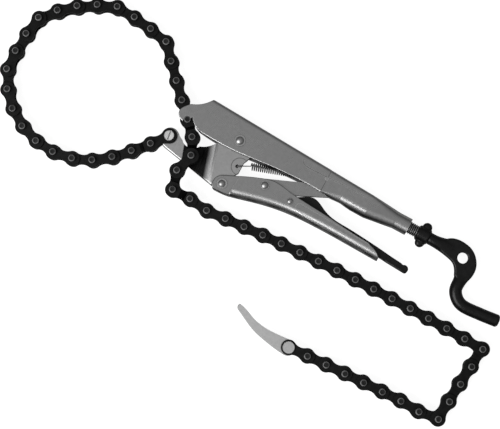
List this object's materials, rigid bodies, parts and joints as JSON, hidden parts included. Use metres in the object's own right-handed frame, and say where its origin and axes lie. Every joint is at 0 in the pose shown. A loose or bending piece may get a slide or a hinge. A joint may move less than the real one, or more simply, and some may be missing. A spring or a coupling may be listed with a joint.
{
  "type": "oil filter wrench",
  "caption": "Chain wrench for oil filters: locking-plier handles with a toggle link and crank screw, roller chain looped from the jaw to a hooked handle, steel guide tongue.",
  "frame": {"origin": "centre of the main pivot rivet, in the tool's mid-plane", "axes": "+X along the adjusting screw towards the crank, +Y towards the closed edge of the main handle, +Z along the rivets, up when the tool lies flat"},
  "size_m": [0.442, 0.1835, 0.0292],
  "materials": {
    "nickel_steel": "satin nickel plate with fine grain",
    "bright_rivets": "bright plated",
    "black_gloss": "gloss black oxide",
    "spring_wire": "dark drawn wire",
    "tongue_steel": "light satin plate",
    "black_chain": "oiled black oxide",
    "chain_pins": "black oxide with worn rims"
  },
  "bodies": {
    "main_handle": {"main_handle": "nickel_steel", "screw_bush": "nickel_steel", "main_pivot_rivet": "bright_rivets", "spring_anchor": "bright_rivets", "return_spring": "spring_wire"},
    "jaw": {"jaw": "nickel_steel", "chain_screw": "bright_rivets", "chain_screw_nut": "bright_rivets"},
    "lower_handle": {"lower_handle": "nickel_steel", "lower_handle_rivet": "bright_rivets", "toggle_rivet": "bright_rivets", "release_lever_rivet": "bright_rivets"},
    "toggle_link": {"toggle_link": "nickel_steel"},
    "release_lever": {"release_lever": "black_gloss"},
    "wing_nut": {"wing_nut": "black_gloss"},
    "adjusting_screw": {"adjusting_screw": "black_gloss"},
    "loop_a": {"loop_a_outer_links": "black_chain", "loop_a_inner_links": "black_chain", "loop_a_pins": "chain_pins", "loop_a_rollers": "black_chain"},
    "loop_b": {"loop_b_outer_links": "black_chain", "loop_b_inner_links": "black_chain", "loop_b_pins": "chain_pins", "loop_b_rollers": "black_chain"},
    "loop_c": {"loop_c_outer_links": "black_chain", "loop_c_inner_links": "black_chain", "loop_c_pins": "chain_pins", "loop_c_rollers": "black_chain"},
    "tail_01": {"tail_links_01": "black_chain"},
    "tail_02": {"tail_links_02": "black_chain"},
    "tail_03": {"tail_links_03": "black_chain"},
    "tail_04": {"tail_links_04": "black_chain"},
    "tail_05": {"tail_links_05": "black_chain"},
    "tail_06": {"tail_links_06": "black_chain"},
    "tail_07": {"tail_links_07": "black_chain"},
    "tail_08": {"tail_links_08": "black_chain"},
    "tail_09": {"tail_links_09": "black_chain"},
    "tail_10": {"tail_links_10": "black_chain"},
    "tail_11": {"tail_links_11": "black_chain"},
    "tail_12": {"tail_links_12": "black_chain"},
    "tail_13": {"tail_links_13": "black_chain"},
    "tail_14": {"tail_links_14": "black_chain"},
    "tail_15": {"tail_links_15": "black_chain"},
    "tail_16": {"tail_links_16": "black_chain"},
    "tongue": {"tongue": "tongue_steel", "tongue_rivet": "tongue_steel"}
  },
  "joints": [
    {"name": "jaw_pivot", "type": "hinge", "parent": "main_handle", "child": "jaw", "pos_m": [0, 0, 0], "axis": [0, 0, 1], "range_deg": [0, 7], "deforming": ["return_spring"]},
    {"name": "lower_handle_pivot", "type": "hinge", "parent": "jaw", "child": "lower_handle", "pos_m": [0.0035, -0.036, 0], "axis": [0, 0, 1], "range_deg": [-32, 0.5]},
    {"name": "toggle_pivot", "type": "hinge", "parent": "lower_handle", "child": "toggle_link", "pos_m": [0.0336, -0.0215, 0], "axis": [0, 0, 1], "range_deg": [-0.5, 39]},
    {"name": "release_lever_pivot", "type": "hinge", "parent": "lower_handle", "child": "release_lever", "pos_m": [0.0567, -0.0231, 0], "axis": [0, 0, 1], "range_deg": [0, 5]},
    {"name": "screw_feed", "type": "slide", "parent": "main_handle", "child": "wing_nut", "axis": [1, 0, 0], "range_m": [0, 0.0078]},
    {"name": "screw_turn", "type": "hinge", "parent": "wing_nut", "child": "adjusting_screw", "pos_m": [0.16, 0.0031, 0], "axis": [1, 0, 0], "range_deg": [-2, 1890]},
    {"name": "chain_anchor", "type": "hinge", "parent": "jaw", "child": "loop_a", "pos_m": [-0.0508, -0.0223, 0], "axis": [0, 0, 1], "range_deg": [-3.7, 0.2]},
    {"name": "loop_joint_b", "type": "hinge", "parent": "loop_a", "child": "loop_b", "pos_m": [-0.15592, -0.07032, 0], "axis": [0, 0, 1], "range_deg": [-0.2, 2.18]},
    {"name": "loop_joint_c", "type": "hinge", "parent": "loop_b", "child": "loop_c", "pos_m": [-0.16343, 0.0332, 0], "axis": [0, 0, 1], "range_deg": [-0.2, 1.14]},
    {"name": "tail_joint_01", "type": "hinge", "parent": "main_handle", "child": "tail_01", "pos_m": [-0.04416, -0.00466, 0], "axis": [0, 0, -1], "range_deg": [0, 2]},
    {"name": "tail_joint_02", "type": "hinge", "parent": "tail_01", "child": "tail_02", "pos_m": [-0.02706, -0.02864, 0.011], "axis": [0, 0, -1], "range_deg": [0, 10]},
    {"name": "tail_joint_03", "type": "hinge", "parent": "tail_02", "child": "tail_03", "pos_m": [-0.02772, -0.05838, 0.0055], "axis": [0, 0, -1], "range_deg": [-0.5, 20.5]},
    {"name": "tail_joint_04", "type": "hinge", "parent": "tail_03", "child": "tail_04", "pos_m": [0.00293, -0.0601, 0], "axis": [0, 0, -1], "range_deg": [0, 12]},
    {"name": "tail_joint_05", "type": "hinge", "parent": "tail_04", "child": "tail_05", "pos_m": [0.03457, -0.05742, 0], "axis": [0, 0, -1], "range_deg": [0, 12]},
    {"name": "tail_joint_06", "type": "hinge", "parent": "tail_05", "child": "tail_06", "pos_m": [0.06624, -0.05529, 0], "axis": [0, 0, -1], "range_deg": [0, 12]},
    {"name": "tail_joint_07", "type": "hinge", "parent": "tail_06", "child": "tail_07", "pos_m": [0.09796, -0.05371, 0], "axis": [0, 0, -1], "range_deg": [-1, 12]},
    {"name": "tail_joint_08", "type": "hinge", "parent": "tail_07", "child": "tail_08", "pos_m": [0.12969, -0.05268, 0], "axis": [0, 0, -1], "range_deg": [-1, 12]},
    {"name": "tail_joint_09", "type": "hinge", "parent": "tail_08", "child": "tail_09", "pos_m": [0.16143, -0.05221, 0], "axis": [0, 0, -1], "range_deg": [-2, 12]},
    {"name": "tail_joint_10", "type": "hinge", "parent": "tail_09", "child": "tail_10", "pos_m": [0.19318, -0.0523, 0], "axis": [0, 0, -1], "range_deg": [-4, 12]},
    {"name": "tail_joint_11", "type": "hinge", "parent": "tail_10", "child": "tail_11", "pos_m": [0.24079, -0.05346, 0], "axis": [0, 0, 1], "range_deg": [-1, 30]},
    {"name": "tail_joint_12", "type": "hinge", "parent": "tail_11", "child": "tail_12", "pos_m": [0.23836, -0.08512, 0], "axis": [0, 0, 1], "range_deg": [-1, 30]},
    {"name": "tail_joint_13", "type": "hinge", "parent": "tail_12", "child": "tail_13", "pos_m": [0.23592, -0.11677, 0], "axis": [0, 0, 1], "range_deg": [-1, 30]},
    {"name": "tail_joint_14", "type": "hinge", "parent": "tail_13", "child": "tail_14", "pos_m": [0.20432, -0.11821, 0], "axis": [0, 0, 1], "range_deg": [-1, 30]},
    {"name": "tail_joint_15", "type": "hinge", "parent": "tail_14", "child": "tail_15", "pos_m": [0.1726, -0.11951, 0], "axis": [0, 0, 1], "range_deg": [-1, 30]},
    {"name": "tail_joint_16", "type": "hinge", "parent": "tail_15", "child": "tail_16", "pos_m": [0.14089, -0.12114, 0], "axis": [0, 0, 1], "range_deg": [-1, 30]},
    {"name": "tongue_pivot", "type": "hinge", "parent": "tail_16", "child": "tongue", "pos_m": [0.1092, -0.12311, 0], "axis": [0, 0, 1], "range_deg": [-45, 60]}
  ],
  "couplings": [
    {"joint": "lower_handle_pivot", "follows": "jaw_pivot", "ratio": -4.513},
    {"joint": "toggle_pivot", "follows": "jaw_pivot", "ratio": 5.516},
    {"joint": "screw_turn", "follows": "screw_feed", "rad_per_m": 4188.8},
    {"joint": "chain_anchor", "follows": "jaw_pivot", "ratio": -0.5},
    {"joint": "loop_joint_b", "follows": "jaw_pivot", "ratio": 0.2823},
    {"joint": "loop_joint_c", "follows": "jaw_pivot", "ratio": 0.1336},
    {"joint": "tail_joint_03", "follows": "jaw_pivot", "ratio": 2.8571}
  ]
}
